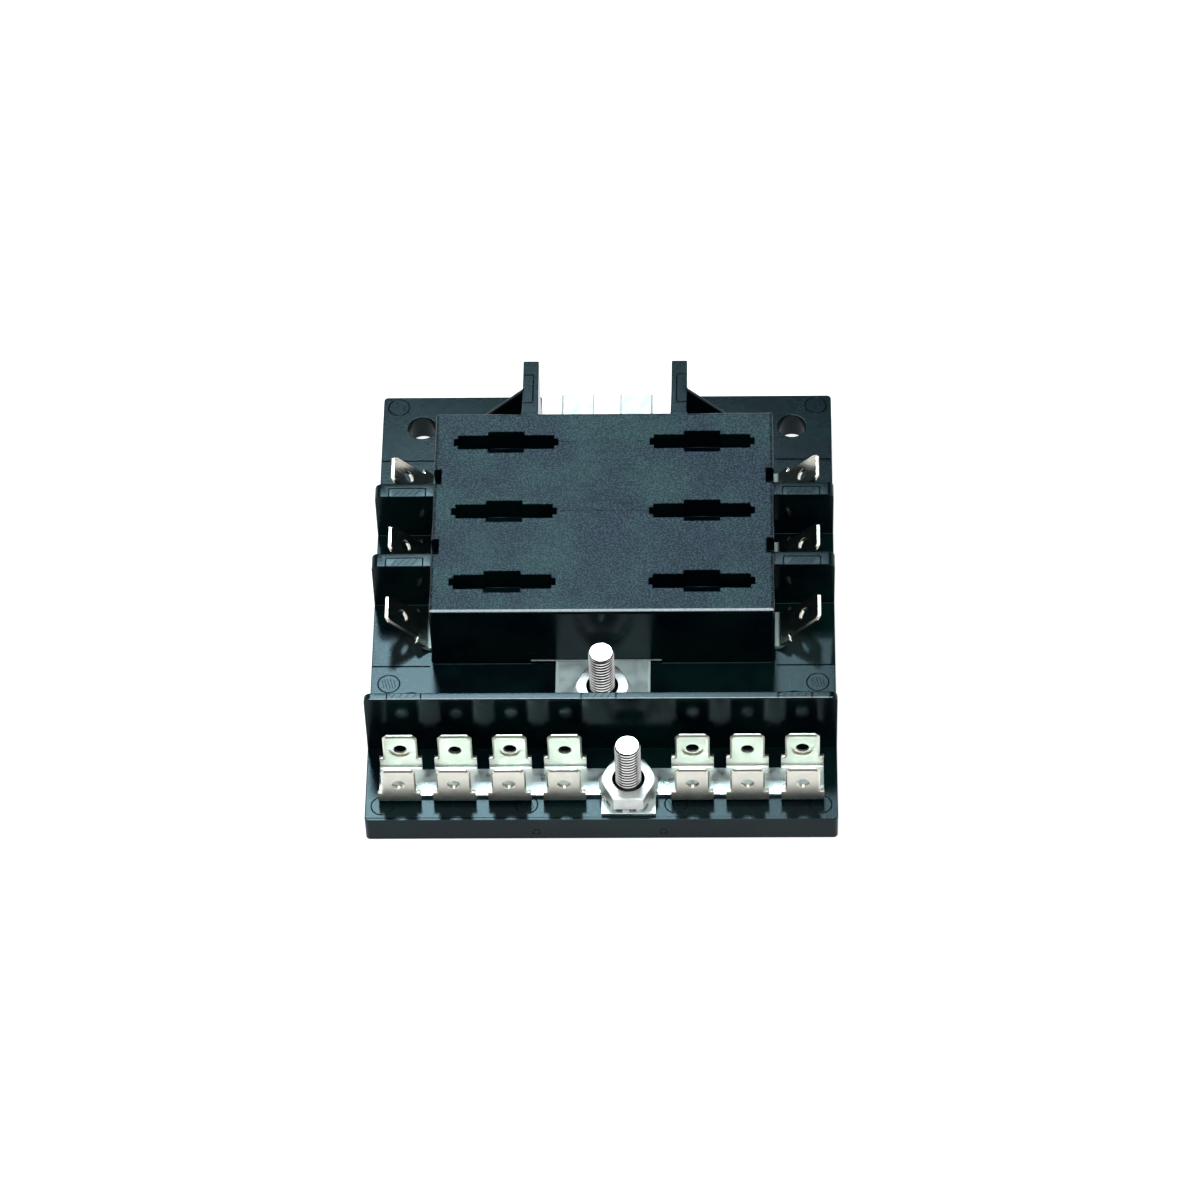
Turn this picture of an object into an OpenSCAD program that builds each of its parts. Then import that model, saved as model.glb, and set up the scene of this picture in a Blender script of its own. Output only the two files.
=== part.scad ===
// Six-way blade fuse block with side load tabs, a power stud and a ground bus.
// Millimetres. Origin at the centre of the base's underside, +Y to the rear, +Z up.

/* [Base plate] */
// Width of the base plate, left to right
base_w = 87.4; // [85:0.2:110]
// Depth of the base plate, front to rear
base_d = 102.4; // [101:0.2:130]
// Height of the base plate
base_h = 5.8; // [5.6:0.1:9]
// Radius of the base plate's upright corners
base_corner_r = 0.8; // [0.4:0.1:2]
// Thickness of the skirt round the cored underside
skirt_t = 2.2; // [1.6:0.1:3]
// Thickness of the plate over the cored underside
plate_t = 2.5; // [2:0.1:2.8]
// Thickness of the ribs under the plate
rib_t = 1.8; // [1.2:0.1:2.4]

/* [Mounting holes] */
// Spacing of the mounting holes, left to right
mount_x = 72; // [70:0.2:74]
// Spacing of the mounting holes, front to rear
mount_y = 67.6; // [66:0.2:69]
// Diameter of a mounting hole
mount_hole_d = 5.4; // [4:0.1:6]
// Diameter of the boss round a mounting hole, under the plate
mount_boss_d = 9.6; // [8:0.2:11]

/* [Fuse housing] */
// Width of the fuse housing
housing_w = 64.6; // [62:0.2:68]
// Depth of the fuse housing
housing_d = 48.6; // [47:0.2:52]
// Height of the fuse housing above the base
housing_h = 15.7; // [15.2:0.1:20]
// Distance of the housing's centre behind the base's centre
housing_y = 9.6; // [9:0.1:11]
// Radius of the housing's top edges
housing_edge_r = 0.8; // [0.3:0.1:1.4]

/* [Fuse slots] */
// Spacing of the fuse rows, front to rear
row_pitch = 17; // [16:0.1:18]
// Distance of a fuse slot's centre from the middle of the block
column_x = 18.7; // [18.2:0.1:19.6]
// Length of a fuse slot
slot_l = 18.3; // [17.6:0.1:19]
// Width of a fuse slot
slot_w = 3.3; // [2.6:0.1:4]
// Length of the small nib at each end of a slot
slot_nib_l = 0.8; // [0.4:0.1:1.2]
// Width of the small nib at each end of a slot
slot_nib_w = 1.6; // [1:0.1:2.4]
// Length of the wide stretch in the middle of a slot
slot_middle_l = 6.8; // [5:0.1:9]
// Width of the wide stretch in the middle of a slot
slot_middle_w = 5.1; // [4.6:0.1:6]
// Depth of a fuse slot, down to the shelf that the fuse sits on
slot_depth = 5; // [4.5:0.1:5.4]
// Thickness of the shelf under a fuse
shelf_t = 1.2; // [0.8:0.1:1.6]
// Spacing of a fuse's two blades
blade_spacing = 9.4; // [9:0.1:9.8]
// Width of a fuse blade
blade_w = 5.2; // [4.8:0.1:5.4]
// Thickness of a fuse blade
blade_t = 0.65; // [0.5:0.05:0.8]
// Room round a blade where it passes the shelf
blade_clear = 0.3; // [0.1:0.05:0.5]
// Room beyond the blades at each end of a contact cell
cell_end_clear = 1.2; // [0.6:0.1:1.4]
// Width of a contact cell, front to rear
cell_w = 9; // [8.6:0.1:10]

/* [Barriers] */
// Thickness of the barriers between the load tabs
barrier_t = 3.2; // [2:0.1:4]
// Height of the barriers above the base
barrier_h = 11.7; // [9:0.1:14]
// Radius of a barrier's outer top corner
barrier_edge_r = 1.2; // [0.4:0.1:2]
// Width of the groove in the housing above each barrier
groove_w = 3.6; // [2.4:0.1:5]
// Depth of the groove in the housing above each barrier
groove_depth = 1.5; // [0.8:0.1:2]

/* [Divider] */
// Distance from the housing's front to the divider
divider_gap = 18.5; // [17.5:0.1:19]
// Thickness of the divider
divider_t = 1.5; // [1.2:0.1:2]
// Height of the divider above the base
divider_h = 15.3; // [10:0.1:20]
// Radius of the divider's outer top corners
divider_edge_r = 1.3; // [0.5:0.1:3]

/* [Rear walls] */
// Clear distance between the two rear walls
rear_wall_gap = 25.6; // [21:0.2:28]
// Thickness of a rear wall
rear_wall_t = 3; // [2:0.1:4]
// Length of a rear wall
rear_wall_l = 13; // [12:0.1:14.5]
// Length of the base's rear notch, which gives the connectors on the power tabs room
notch_l = 7; // [5:0.1:8]
// Distance from the housing's rear to the gussets
gusset_y = 5.3; // [3:0.1:9]
// Thickness of a gusset
gusset_t = 0.8; // [0.6:0.1:2.4]

/* [Stampings] */
// Thickness of the sheet metal
metal_t = 0.8; // [0.6:0.05:1]
// Inside radius of the bends
bend_r = 0.5; // [0.3:0.1:1]
// Width of a push-on tab
tab_w = 6.35; // [6:0.05:6.6]
// Height of an upright tab's tip above the base
tab_h = 9.9; // [9.5:0.1:13]
// Corner chamfer of a tab's tip
tab_chamfer = 0.8; // [0.5:0.1:1.8]
// Diameter of the hole in a tab
tab_hole_d = 2.4; // [1.6:0.1:2.6]
// Distance of a tab's hole from its tip
tab_hole_drop = 4.1; // [3.5:0.1:5]
// Thickness of a separate contact clip's sheet
clip_t = 0.6; // [0.4:0.05:0.8]
// Width of a contact clip's leaves
clip_leaf_w = 5.4; // [4.6:0.1:5.8]
// Distance of a clip's upright leaves from the blade's centre
clip_half_w = 1.9; // [1.6:0.1:2.4]
// Height of a contact clip
clip_h = 7; // [6:0.1:7.4]
// Room between a stamping and the moulding round it
fit_clear = 0.1; // [0.05:0.01:0.2]

/* [Power bus bar] */
// Width of the power bus bar
bus_w = 17.8; // [17.2:0.1:19]
// Length of the bus bar's tongue in front of the housing
tongue_l = 14.6; // [14:0.1:16.5]
// Distance of the power stud in front of the housing
power_stud_gap = 8.8; // [8.4:0.1:9.2]
// Spacing of the two power tabs
power_tab_x = 11.4; // [10:0.1:11.4]
// Distance of the power tabs' tips behind the housing
power_tab_reach = 17.3; // [16:0.1:17.3]
// Length of a power tab, from the end of the slot between the two
power_tab_l = 8; // [7:0.1:9]
// Distance of a bus clip's inner end from the middle of the block
bus_clip_inset = 5.4; // [4.5:0.1:6.5]

/* [Load terminals] */
// Rise of a load tab above the level
load_tab_angle = 45; // [30:1:50]
// Length of a load tab, from its bend to its tip
load_tab_l = 10.6; // [10:0.1:11]
// Width of a load tab's shoulders
load_shoulder_w = 8.2; // [7:0.1:8.4]
// Length of a load tab's shoulders
load_shoulder_l = 2.6; // [1.5:0.1:3.5]
// Distance of a load tab's bend from the housing
load_bend_gap = 0.5; // [0.2:0.1:1]
// Width of a load terminal inside its cell
load_foot_w = 6; // [5:0.1:6.6]

/* [Ground bus bar] */
// Width of the ground bus bar between its bends
ground_strip_w = 6.1; // [5.5:0.1:6.6]
// Spacing of the ground tabs
ground_pitch = 10.16; // [9.6:0.02:10.4]
// Distance between the outermost ground tabs
ground_span = 74.4; // [73.4:0.1:76]
// Number of ground tab pairs left of the ground stud
ground_left_count = 4; // [3:1:4]
// Number of ground tab pairs right of the ground stud
ground_right_count = 3; // [2:1:3]
// Width of the shoulders of an upright tab
ground_shoulder_w = 7.9; // [7:0.1:8.4]
// Height of the shoulders of an upright tab above the base
ground_shoulder_h = 3.3; // [2.4:0.1:4]
// Width of the pad under the ground nut
ground_pad_w = 10; // [9:0.1:11]
// Distance of the ground pad's front edge behind the base's front edge
ground_pad_setback = 0.9; // [0.4:0.1:1.2]

/* [Studs and nuts] */
// Thread diameter of the studs
stud_d = 4.8; // [4.6:0.1:5]
// Core diameter of the studs inside the nuts and the base
stud_core_d = 4.2; // [3.8:0.1:4.4]
// Height of a stud's tip above the base
stud_h = 14.8; // [12:0.1:20]
// Chamfer of a stud's tip
stud_chamfer = 0.6; // [0.3:0.1:1]
// Distance across the flats of a stud's head
stud_head_af = 8; // [7:0.1:9]
// Height of a stud's head
stud_head_h = 2.2; // [1.6:0.1:2.4]
// Height of a stud's head seat above the base's underside
stud_seat_z = 2.7; // [2.5:0.1:3]
// Thickness of the boss wall round a stud's head
stud_boss_wall = 1.8; // [1.2:0.1:2.4]
// Distance across the flats of a nut
nut_af = 9.5; // [9:0.1:10]
// Height of a nut
nut_h = 3.2; // [2.6:0.1:4]
// Outside diameter of a lock washer, over its teeth
washer_d = 10; // [9.6:0.1:10.4]
// Diameter of a lock washer's ring, under its teeth
washer_ring_d = 8.2; // [7.4:0.1:8.8]
// Thickness of a lock washer
washer_t = 0.6; // [0.4:0.05:0.8]
// Number of teeth on a lock washer
washer_teeth = 12; // [8:1:16]
// Width of a lock washer's tooth
washer_tooth_w = 1.3; // [0.8:0.1:1.4]

/* [Bottom cover] */
// Thickness of the cover under the contact cells
cover_t = 1.6; // [1.2:0.1:2]
// Room round the cover in its recess
cover_clear = 0.2; // [0.1:0.05:0.4]

/* [Hidden] */
$fn = 48;

// Overlap of joined solids, and overshoot of cuts
eps = 0.5;
left = -1;
right = 1;
front = -1;
middle = 0;
rear = 1;
rows = [front, middle, rear];
sides = [left, right];

base_front = -base_d / 2;
base_rear = base_d / 2;
housing_front = housing_y - housing_d / 2;
housing_rear = housing_y + housing_d / 2;
housing_side = housing_w / 2;
housing_top = base_h + housing_h;
recess_top = base_h - plate_t;

// Contact cells run from beyond the inner blade to beyond the outer blade
inner_blade_x = column_x - blade_spacing / 2;
outer_blade_x = column_x + blade_spacing / 2;
cell_in = inner_blade_x - blade_w / 2 - cell_end_clear;
cell_out = outer_blade_x + blade_w / 2 + cell_end_clear;
shelf_top = housing_top - slot_depth;
cell_top = shelf_top - shelf_t;

divider_rear = housing_front - divider_gap;
rear_wall_out = rear_wall_gap / 2 + rear_wall_t;
notch_front = base_rear - notch_l;

// Everything metal lies on the base, one sheet thick
sheet_top = base_h + metal_t;
bend_out = bend_r + metal_t;
bend_steps = 10;

// Heights of a clip's knee and pinch and the spread of its mouth, as shares of its height
clip_knee_share = 0.3;
clip_pinch_share = 0.72;
clip_flare_share = 0.12;

// Studs, washers and nuts stand on the sheets
power_stud_at = [0, housing_front - power_stud_gap];
power_tip_y = housing_rear + power_tab_reach;
ground_y = (base_front + divider_rear - divider_t) / 2;
ground_pad_front = base_front + ground_pad_setback;
ground_left_tabs = [for (i = [0:ground_left_count - 1]) -ground_span / 2 + i * ground_pitch];
ground_right_tabs = [for (i = [0:ground_right_count - 1]) ground_span / 2 - i * ground_pitch];
ground_tabs = concat(ground_left_tabs, ground_right_tabs);
ground_stud_x = (max(ground_left_tabs) + min(ground_right_tabs)) / 2;
ground_stud_at = [ground_stud_x, (ground_pad_front + ground_y + ground_strip_w / 2) / 2];
stud_spots = [power_stud_at, ground_stud_at];
washer_top = sheet_top + washer_t;
nut_top = washer_top + nut_h;

// The cover lies between the two long ribs and the two cross ribs
rib_in_x = housing_side - rib_t;
cover_half_w = rib_in_x - cover_clear;
cover_half_d = housing_d / 2 - rib_t - cover_clear;

plastic = "#17191c";
tin = "#c9c6b4";
steel = "#b9bcc0";

function row_y(row) = housing_y + row * row_pitch;

// Box between two corners
module box(low, high) {
    translate(low) cube(high - low);
}

// Rectangle with round corners, centred
module round_rect(size, r) {
    square([size.x, size.y - 2 * r], center = true);
    square([size.x - 2 * r, size.y], center = true);
    for (sx = sides, sy = [-1, 1])
        translate([sx * (size.x / 2 - r), sy * (size.y / 2 - r)]) circle(r);
}

// Outline of a wall that stands on the X axis, with round top corners
module wall_outline(w, h, r) {
    translate([-w / 2, 0]) square([w, h - r]);
    translate([r - w / 2, 0]) square([w - 2 * r, h]);
    for (s = sides) translate([s * (w / 2 - r), h - r]) circle(r);
}

// Upright wall of that outline across the block, from y to y + t
module cross_wall(w, h, t, y, r) {
    translate([0, y + t, base_h - eps]) rotate([90, 0, 0])
        linear_extrude(t) wall_outline(w, h + eps, r);
}

// Strip of sheet with round bends along a 2D path
module bent_strip(path, t) {
    for (i = [0:len(path) - 2]) {
        step = path[i + 1] - path[i];
        translate(path[i]) rotate(atan2(step.y, step.x))
            translate([0, -t / 2]) square([norm(step), t]);
    }
    for (p = path) translate(p) circle(t / 2);
}

// Hexagonal prism with its flats facing front and rear
module hex_prism(af, h) {
    cylinder(d = af / cos(30), h = h, $fn = 6);
}

// Points of a bend about [0, bend_out], from straight down round by an angle
function bend_arc(r, angle) = [
    for (i = [0:bend_steps])
        let (a = angle * i / bend_steps) [r * sin(a), bend_out - r * cos(a)]
];

// End of a strip along +X, from a little inside it: bent up by an angle, then straight on for a length
module bent_end(angle, length, w) {
    along = length * [cos(angle), sin(angle)];
    outer = bend_arc(bend_out, angle);
    inner = bend_arc(bend_r, angle);
    back = [for (i = [bend_steps:-1:0]) inner[i]];
    translate([0, w / 2, 0]) rotate([90, 0, 0]) linear_extrude(w)
        polygon(concat([[-eps, 0]], outer, [outer[bend_steps] + along, back[0] + along], back,
            [[-eps, metal_t]]));
}

// Hole and corner chamfers of a flat tab along +X, with its tip at the origin
module tip_cuts() {
    corner = sqrt(2) * tab_chamfer;
    translate([-tab_hole_drop, 0, -eps]) cylinder(d = tab_hole_d, h = metal_t + 2 * eps);
    for (s = sides) translate([0, s * tab_w / 2, -eps]) rotate(45)
        translate([-corner / 2, -corner / 2, 0]) cube([corner, corner, metal_t + 2 * eps]);
}

// Push-on tab on the end of a strip along +X: bend, shoulders, blade, chamfered tip and hole
module push_on_tab(angle, length, root_w, root_l) {
    difference() {
        union() {
            bent_end(angle, root_l, root_w);
            bent_end(angle, length, tab_w);
        }
        translate([0, 0, bend_out]) rotate([0, -angle, 0]) translate([length, 0, -bend_out]) tip_cuts();
    }
}

// Two spring leaves that stand on a foot and pinch a blade between them, along X
module contact_clip(t) {
    pinch = (blade_t + t) / 2;
    knee = clip_h * clip_knee_share;
    pinch_z = clip_h * clip_pinch_share;
    flare = pinch + clip_h * clip_flare_share;
    half = [[clip_half_w, t / 2], [clip_half_w, knee], [pinch, pinch_z], [flare, clip_h - t / 2]];
    mirrored = [for (i = [len(half) - 1:-1:0]) [-half[i].x, half[i].y]];
    translate([-clip_leaf_w / 2, 0, 0]) rotate([90, 0, 90])
        linear_extrude(clip_leaf_w) bent_strip(concat(mirrored, half), t);
}

// Outside of the fuse housing: three outlines crossed, so that every edge is round
module housing_block() {
    translate([0, housing_y, 0]) intersection() {
        translate([0, housing_d / 2, base_h - eps]) rotate([90, 0, 0])
            linear_extrude(housing_d) wall_outline(housing_w, housing_h + eps, housing_edge_r);
        translate([-housing_side, 0, base_h - eps]) rotate([90, 0, 90])
            linear_extrude(housing_w) wall_outline(housing_d, housing_h + eps, housing_edge_r);
        translate([0, 0, base_h - eps])
            linear_extrude(housing_h + eps) round_rect([housing_w, housing_d], housing_edge_r);
    }
}

// Slot for one fuse, the shelf's two blade slits and the contact cell below, on the right
module fuse_cavity(row) {
    slot_high = housing_top + eps;
    translate([column_x, row_y(row), 0]) {
        translate([0, 0, shelf_top]) linear_extrude(slot_high - shelf_top) {
            square([slot_l, slot_w], center = true);
            square([slot_l + 2 * slot_nib_l, slot_nib_w], center = true);
            square([slot_middle_l, slot_middle_w], center = true);
        }
        for (s = sides) translate([s * blade_spacing / 2, 0, cell_top - eps])
            linear_extrude(shelf_t + 2 * eps)
                square([blade_w + 2 * blade_clear, blade_t + 2 * blade_clear], center = true);
    }
    translate([0, row_y(row), 0]) {
        box([cell_in, -cell_w / 2, recess_top - eps], [cell_out, cell_w / 2, cell_top]);
        // Way for the bus clip's foot, over the bus bar
        box([bus_clip_inset - fit_clear, -load_foot_w / 2 - fit_clear, base_h],
            [cell_in + eps, load_foot_w / 2 + fit_clear, sheet_top + clip_t + fit_clear]);
        // Way out for the load terminal
        box([cell_out - eps, -load_shoulder_w / 2 - fit_clear, base_h],
            [housing_side + eps, load_shoulder_w / 2 + fit_clear, sheet_top + fit_clear]);
    }
}

// Groove in the housing's side above one barrier, on the right
module barrier_groove(y) {
    box([housing_side - groove_depth, y - groove_w / 2, base_h + barrier_h],
        [housing_side + eps, y + groove_w / 2, housing_top + eps]);
}

// Hollow under the base, between its skirt, ribs and bosses
module underside_recess() {
    difference() {
        box([skirt_t - base_w / 2, base_front + skirt_t, -eps],
            [base_w / 2 - skirt_t, base_rear - skirt_t, recess_top]);
        for (s = sides) {
            translate([s * (housing_side - rib_t / 2), 0, recess_top / 2])
                cube([rib_t, base_d, 2 * base_h], center = true);
            translate([0, housing_y + s * (housing_d - rib_t) / 2, recess_top / 2])
                cube([base_w, rib_t, 2 * base_h], center = true);
        }
        for (s = sides, f = [front, rear])
            translate([s * mount_x / 2, housing_y + f * mount_y / 2, -base_h])
                cylinder(d = mount_boss_d, h = 2 * base_h);
        for (spot = stud_spots) translate([spot.x, spot.y, -base_h])
            cylinder(d = stud_head_af / cos(30) + 2 * stud_boss_wall, h = 2 * base_h);
        // Material round the rear notch
        box([-rear_wall_gap / 2 - skirt_t, notch_front - skirt_t, -base_h],
            [rear_wall_gap / 2 + skirt_t, base_rear, base_h]);
    }
}

// Everything of the moulding that stands proud, before the cuts
module housing_solid() {
    linear_extrude(base_h) round_rect([base_w, base_d], base_corner_r);
    housing_block();
    for (r = [front, rear])
        cross_wall(base_w, barrier_h, barrier_t, row_y(r / 2) - barrier_t / 2, barrier_edge_r);
    cross_wall(base_w, divider_h, divider_t, divider_rear - divider_t, divider_edge_r);
    for (s = sides) {
        wall_x = s * (rear_wall_gap + rear_wall_t) / 2;
        translate([wall_x - rear_wall_t / 2, housing_rear - 2 * eps, base_h - eps])
            cube([rear_wall_t, rear_wall_l + 2 * eps, housing_h + eps]);
        translate([s * (rear_wall_out - eps), housing_rear + gusset_y + gusset_t, base_h - eps])
            rotate([90, 0, 0]) linear_extrude(gusset_t)
                polygon([[0, 0], [s * (housing_h + 2 * eps), 0],
                    [s * eps, housing_h + eps], [0, housing_h + eps]]);
    }
}

// One-piece moulding: base, fuse housing, barriers, divider, rear walls and gussets
module housing() {
    color(plastic) difference() {
        housing_solid();
        underside_recess();
        for (s = sides) mirror([s == left ? 1 : 0, 0, 0]) {
            for (row = rows) fuse_cavity(row);
            for (r = [front, rear]) barrier_groove(row_y(r / 2));
        }
        // Way for the power bus bar, through both end walls
        box([-bus_w / 2 - fit_clear, housing_front - eps, base_h],
            [bus_w / 2 + fit_clear, housing_rear + eps, sheet_top + fit_clear]);
        box([-rear_wall_gap / 2, notch_front, -eps],
            [rear_wall_gap / 2, base_rear + eps, base_h + eps]);
        for (s = sides, f = [front, rear])
            translate([s * mount_x / 2, housing_y + f * mount_y / 2, -eps])
                cylinder(d = mount_hole_d, h = base_h + 2 * eps);
        for (spot = stud_spots) translate([spot.x, spot.y, 0]) {
            translate([0, 0, -eps]) hex_prism(stud_head_af + 2 * fit_clear, stud_seat_z + eps);
            cylinder(d = stud_core_d + 2 * fit_clear, h = base_h + eps);
        }
    }
}

// Insulating cover under the contact cells, with a pad under each clip and terminal
module bottom_cover() {
    pad_w = load_foot_w / 2;
    color(plastic) {
        translate([0, housing_y, recess_top - cover_t / 2])
            cube([2 * cover_half_w, 2 * cover_half_d, cover_t], center = true);
        for (s = sides, row = rows) mirror([s == left ? 1 : 0, 0, 0]) translate([0, row_y(row), 0]) {
            box([cell_in + cover_clear, -pad_w, recess_top - eps],
                [inner_blade_x + clip_leaf_w / 2, pad_w, sheet_top]);
            box([outer_blade_x - clip_leaf_w / 2, -pad_w, recess_top - eps],
                [cell_out - cover_clear, pad_w, base_h]);
        }
    }
}

// Flat bar with a tongue for the power stud and two flat tabs over the notch at the rear
module power_bus_bar() {
    tongue_end = housing_front - tongue_l;
    slot_half_w = (power_tab_x - tab_w) / 2;
    color(tin) difference() {
        box([-bus_w / 2, tongue_end, base_h], [bus_w / 2, power_tip_y, sheet_top]);
        box([-slot_half_w, power_tip_y - power_tab_l, base_h - eps],
            [slot_half_w, power_tip_y + eps, sheet_top + eps]);
        translate([power_stud_at.x, power_stud_at.y, base_h - eps])
            cylinder(d = stud_core_d + 2 * fit_clear, h = metal_t + 2 * eps);
    }
}

// Spring clip that lies on the bus bar and grips a fuse's inner blade
module bus_clip(side, row) {
    foot_out = inner_blade_x + clip_leaf_w / 2;
    color(tin) mirror([side == left ? 1 : 0, 0, 0]) translate([0, row_y(row), sheet_top]) {
        box([bus_clip_inset, -load_foot_w / 2, 0], [foot_out, load_foot_w / 2, clip_t]);
        translate([inner_blade_x, 0, 0]) contact_clip(clip_t);
    }
}

// Stamping that grips a fuse's outer blade and comes out of the housing as a sloping tab
module load_terminal(side, row) {
    bend_x = housing_side + load_bend_gap;
    foot_in = outer_blade_x - clip_leaf_w / 2;
    color(tin) mirror([side == left ? 1 : 0, 0, 0]) translate([0, row_y(row), base_h]) {
        box([foot_in, -load_foot_w / 2, 0], [cell_out, load_foot_w / 2, metal_t]);
        box([cell_out - eps, -load_shoulder_w / 2, 0], [bend_x, load_shoulder_w / 2, metal_t]);
        translate([outer_blade_x, 0, 0]) contact_clip(metal_t);
        translate([bend_x, 0, 0])
            push_on_tab(load_tab_angle, load_tab_l, load_shoulder_w, load_shoulder_l);
    }
}

// Strip on the base with a row of upright tabs along each edge and a pad for the ground stud
module ground_bus_bar() {
    half_l = ground_span / 2 + ground_shoulder_w / 2;
    color(tin) difference() {
        union() {
            box([-half_l, ground_y - ground_strip_w / 2, base_h],
                [half_l, ground_y + ground_strip_w / 2, sheet_top]);
            box([ground_stud_x - ground_pad_w / 2, ground_pad_front, base_h],
                [ground_stud_x + ground_pad_w / 2, ground_y, sheet_top]);
            for (x = ground_tabs, f = [front, rear])
                translate([x, ground_y + f * ground_strip_w / 2, base_h]) rotate(f * 90)
                    push_on_tab(90, tab_h - bend_out, ground_shoulder_w, ground_shoulder_h - bend_out);
        }
        translate([ground_stud_at.x, ground_stud_at.y, base_h - eps])
            cylinder(d = stud_core_d + 2 * fit_clear, h = metal_t + 2 * eps);
    }
}

// Stud with a captive hexagonal head; the thread's full width shows above the nut
module stud(spot) {
    tip = base_h + stud_h;
    color(steel) translate([spot.x, spot.y, 0]) {
        translate([0, 0, stud_seat_z - stud_head_h]) hex_prism(stud_head_af, stud_head_h);
        rotate_extrude() polygon([
            [0, stud_seat_z - eps], [stud_core_d / 2, stud_seat_z - eps], [stud_core_d / 2, nut_top],
            [stud_d / 2, nut_top], [stud_d / 2, tip - stud_chamfer], [stud_d / 2 - stud_chamfer, tip], [0, tip]
        ]);
    }
}

// Toothed lock washer on a sheet
module lock_washer(spot) {
    color(steel) translate([spot.x, spot.y, sheet_top]) difference() {
        union() {
            cylinder(d = washer_ring_d, h = washer_t);
            for (i = [0:washer_teeth - 1]) rotate(i * 360 / washer_teeth)
                translate([0, -washer_tooth_w / 2, 0]) cube([washer_d / 2, washer_tooth_w, washer_t]);
        }
        translate([0, 0, -eps]) cylinder(d = stud_core_d + 2 * fit_clear, h = washer_t + 2 * eps);
    }
}

// Hexagonal nut with its corners rounded off at the top
module nut(spot) {
    outer_r = nut_af / 2 / cos(30) + eps;
    shoulder_z = nut_h - (outer_r - nut_af / 2) * tan(30);
    color(steel) translate([spot.x, spot.y, washer_top]) difference() {
        intersection() {
            hex_prism(nut_af, nut_h);
            rotate_extrude()
                polygon([[0, 0], [outer_r, 0], [outer_r, shoulder_z], [nut_af / 2, nut_h], [0, nut_h]]);
        }
        translate([0, 0, -eps]) cylinder(d = stud_core_d + 2 * fit_clear, h = nut_h + 2 * eps);
    }
}

module power_stud() { stud(power_stud_at); }
module power_lock_washer() { lock_washer(power_stud_at); }
module power_nut() { nut(power_stud_at); }
module ground_stud() { stud(ground_stud_at); }
module ground_lock_washer() { lock_washer(ground_stud_at); }
module ground_nut() { nut(ground_stud_at); }

housing();
bottom_cover();
power_bus_bar();
bus_clip(left, front);  // bus_clip_left_front
bus_clip(left, middle);  // bus_clip_left_middle
bus_clip(left, rear);  // bus_clip_left_rear
bus_clip(right, front);  // bus_clip_right_front
bus_clip(right, middle);  // bus_clip_right_middle
bus_clip(right, rear);  // bus_clip_right_rear
load_terminal(left, front);  // load_terminal_left_front
load_terminal(left, middle);  // load_terminal_left_middle
load_terminal(left, rear);  // load_terminal_left_rear
load_terminal(right, front);  // load_terminal_right_front
load_terminal(right, middle);  // load_terminal_right_middle
load_terminal(right, rear);  // load_terminal_right_rear
power_stud();
power_lock_washer();
power_nut();
ground_bus_bar();
ground_stud();
ground_lock_washer();
ground_nut();
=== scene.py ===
"""Looks of a six-way blade fuse block: black moulding, tinned stampings and plated studs."""

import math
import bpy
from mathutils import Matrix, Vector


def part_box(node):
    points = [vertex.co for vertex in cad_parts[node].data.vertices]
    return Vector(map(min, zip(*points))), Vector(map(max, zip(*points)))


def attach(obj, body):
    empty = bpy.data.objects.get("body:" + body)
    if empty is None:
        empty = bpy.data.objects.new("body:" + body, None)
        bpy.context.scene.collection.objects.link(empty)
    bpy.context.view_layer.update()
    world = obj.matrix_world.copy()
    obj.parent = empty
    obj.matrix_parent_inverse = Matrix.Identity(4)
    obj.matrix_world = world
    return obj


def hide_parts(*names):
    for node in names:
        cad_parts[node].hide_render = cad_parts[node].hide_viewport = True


bl_info = {
    "name": "Fuse Block",
    "version": (1, 0, 0),
    "blender": (4, 5, 0),
    "location": "View3D > Sidebar > Fuse Block",
    "description": "Models the fuse block's moulding, stampings and fasteners over its packed frame",
    "category": "Object",
}

from contextlib import contextmanager
from functools import partial

import bmesh
import bpy
from bpy.props import FloatProperty, FloatVectorProperty, IntProperty, PointerProperty
from mathutils import Matrix, Vector

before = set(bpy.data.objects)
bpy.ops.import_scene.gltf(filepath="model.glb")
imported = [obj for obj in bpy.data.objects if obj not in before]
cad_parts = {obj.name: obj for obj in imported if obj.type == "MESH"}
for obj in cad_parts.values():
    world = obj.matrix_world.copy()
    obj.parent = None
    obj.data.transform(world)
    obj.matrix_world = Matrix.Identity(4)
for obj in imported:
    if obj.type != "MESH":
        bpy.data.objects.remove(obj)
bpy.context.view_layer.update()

MM = 0.001
NEAR = 0.02 * MM
MERGE = 0.002 * MM
# Cosine above which a face counts as pointing along a direction
FACING = 0.9
SMOOTH_ANGLE = math.radians(32)
# Half the angle that a flat of a hexagon spans
HALF_FLAT = math.pi / 6
SIDES = (-1, 1)
SIDE_NAMES = {-1: "left", 1: "right"}
ROWS = {"front": -7.4 * MM, "middle": 9.6 * MM, "rear": 26.6 * MM}

# Lowest and highest corners of the frame's nodes
HOUSING_LOW, HOUSING_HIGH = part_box("housing")
GROUND_LOW, GROUND_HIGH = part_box("ground_bus_bar")
POWER_LOW, POWER_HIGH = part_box("power_bus_bar")
LOAD_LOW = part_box("load_terminal_right_middle")[0]
STUD_LOW, STUD_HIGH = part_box("power_stud")
NUT_LOW, NUT_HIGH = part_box("power_nut")
WASHER_LOW, WASHER_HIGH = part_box("power_lock_washer")
POWER_STUD_AT = (STUD_LOW + STUD_HIGH) / 2
GROUND_STUD_AT = (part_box("ground_stud")[0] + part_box("ground_stud")[1]) / 2

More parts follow.
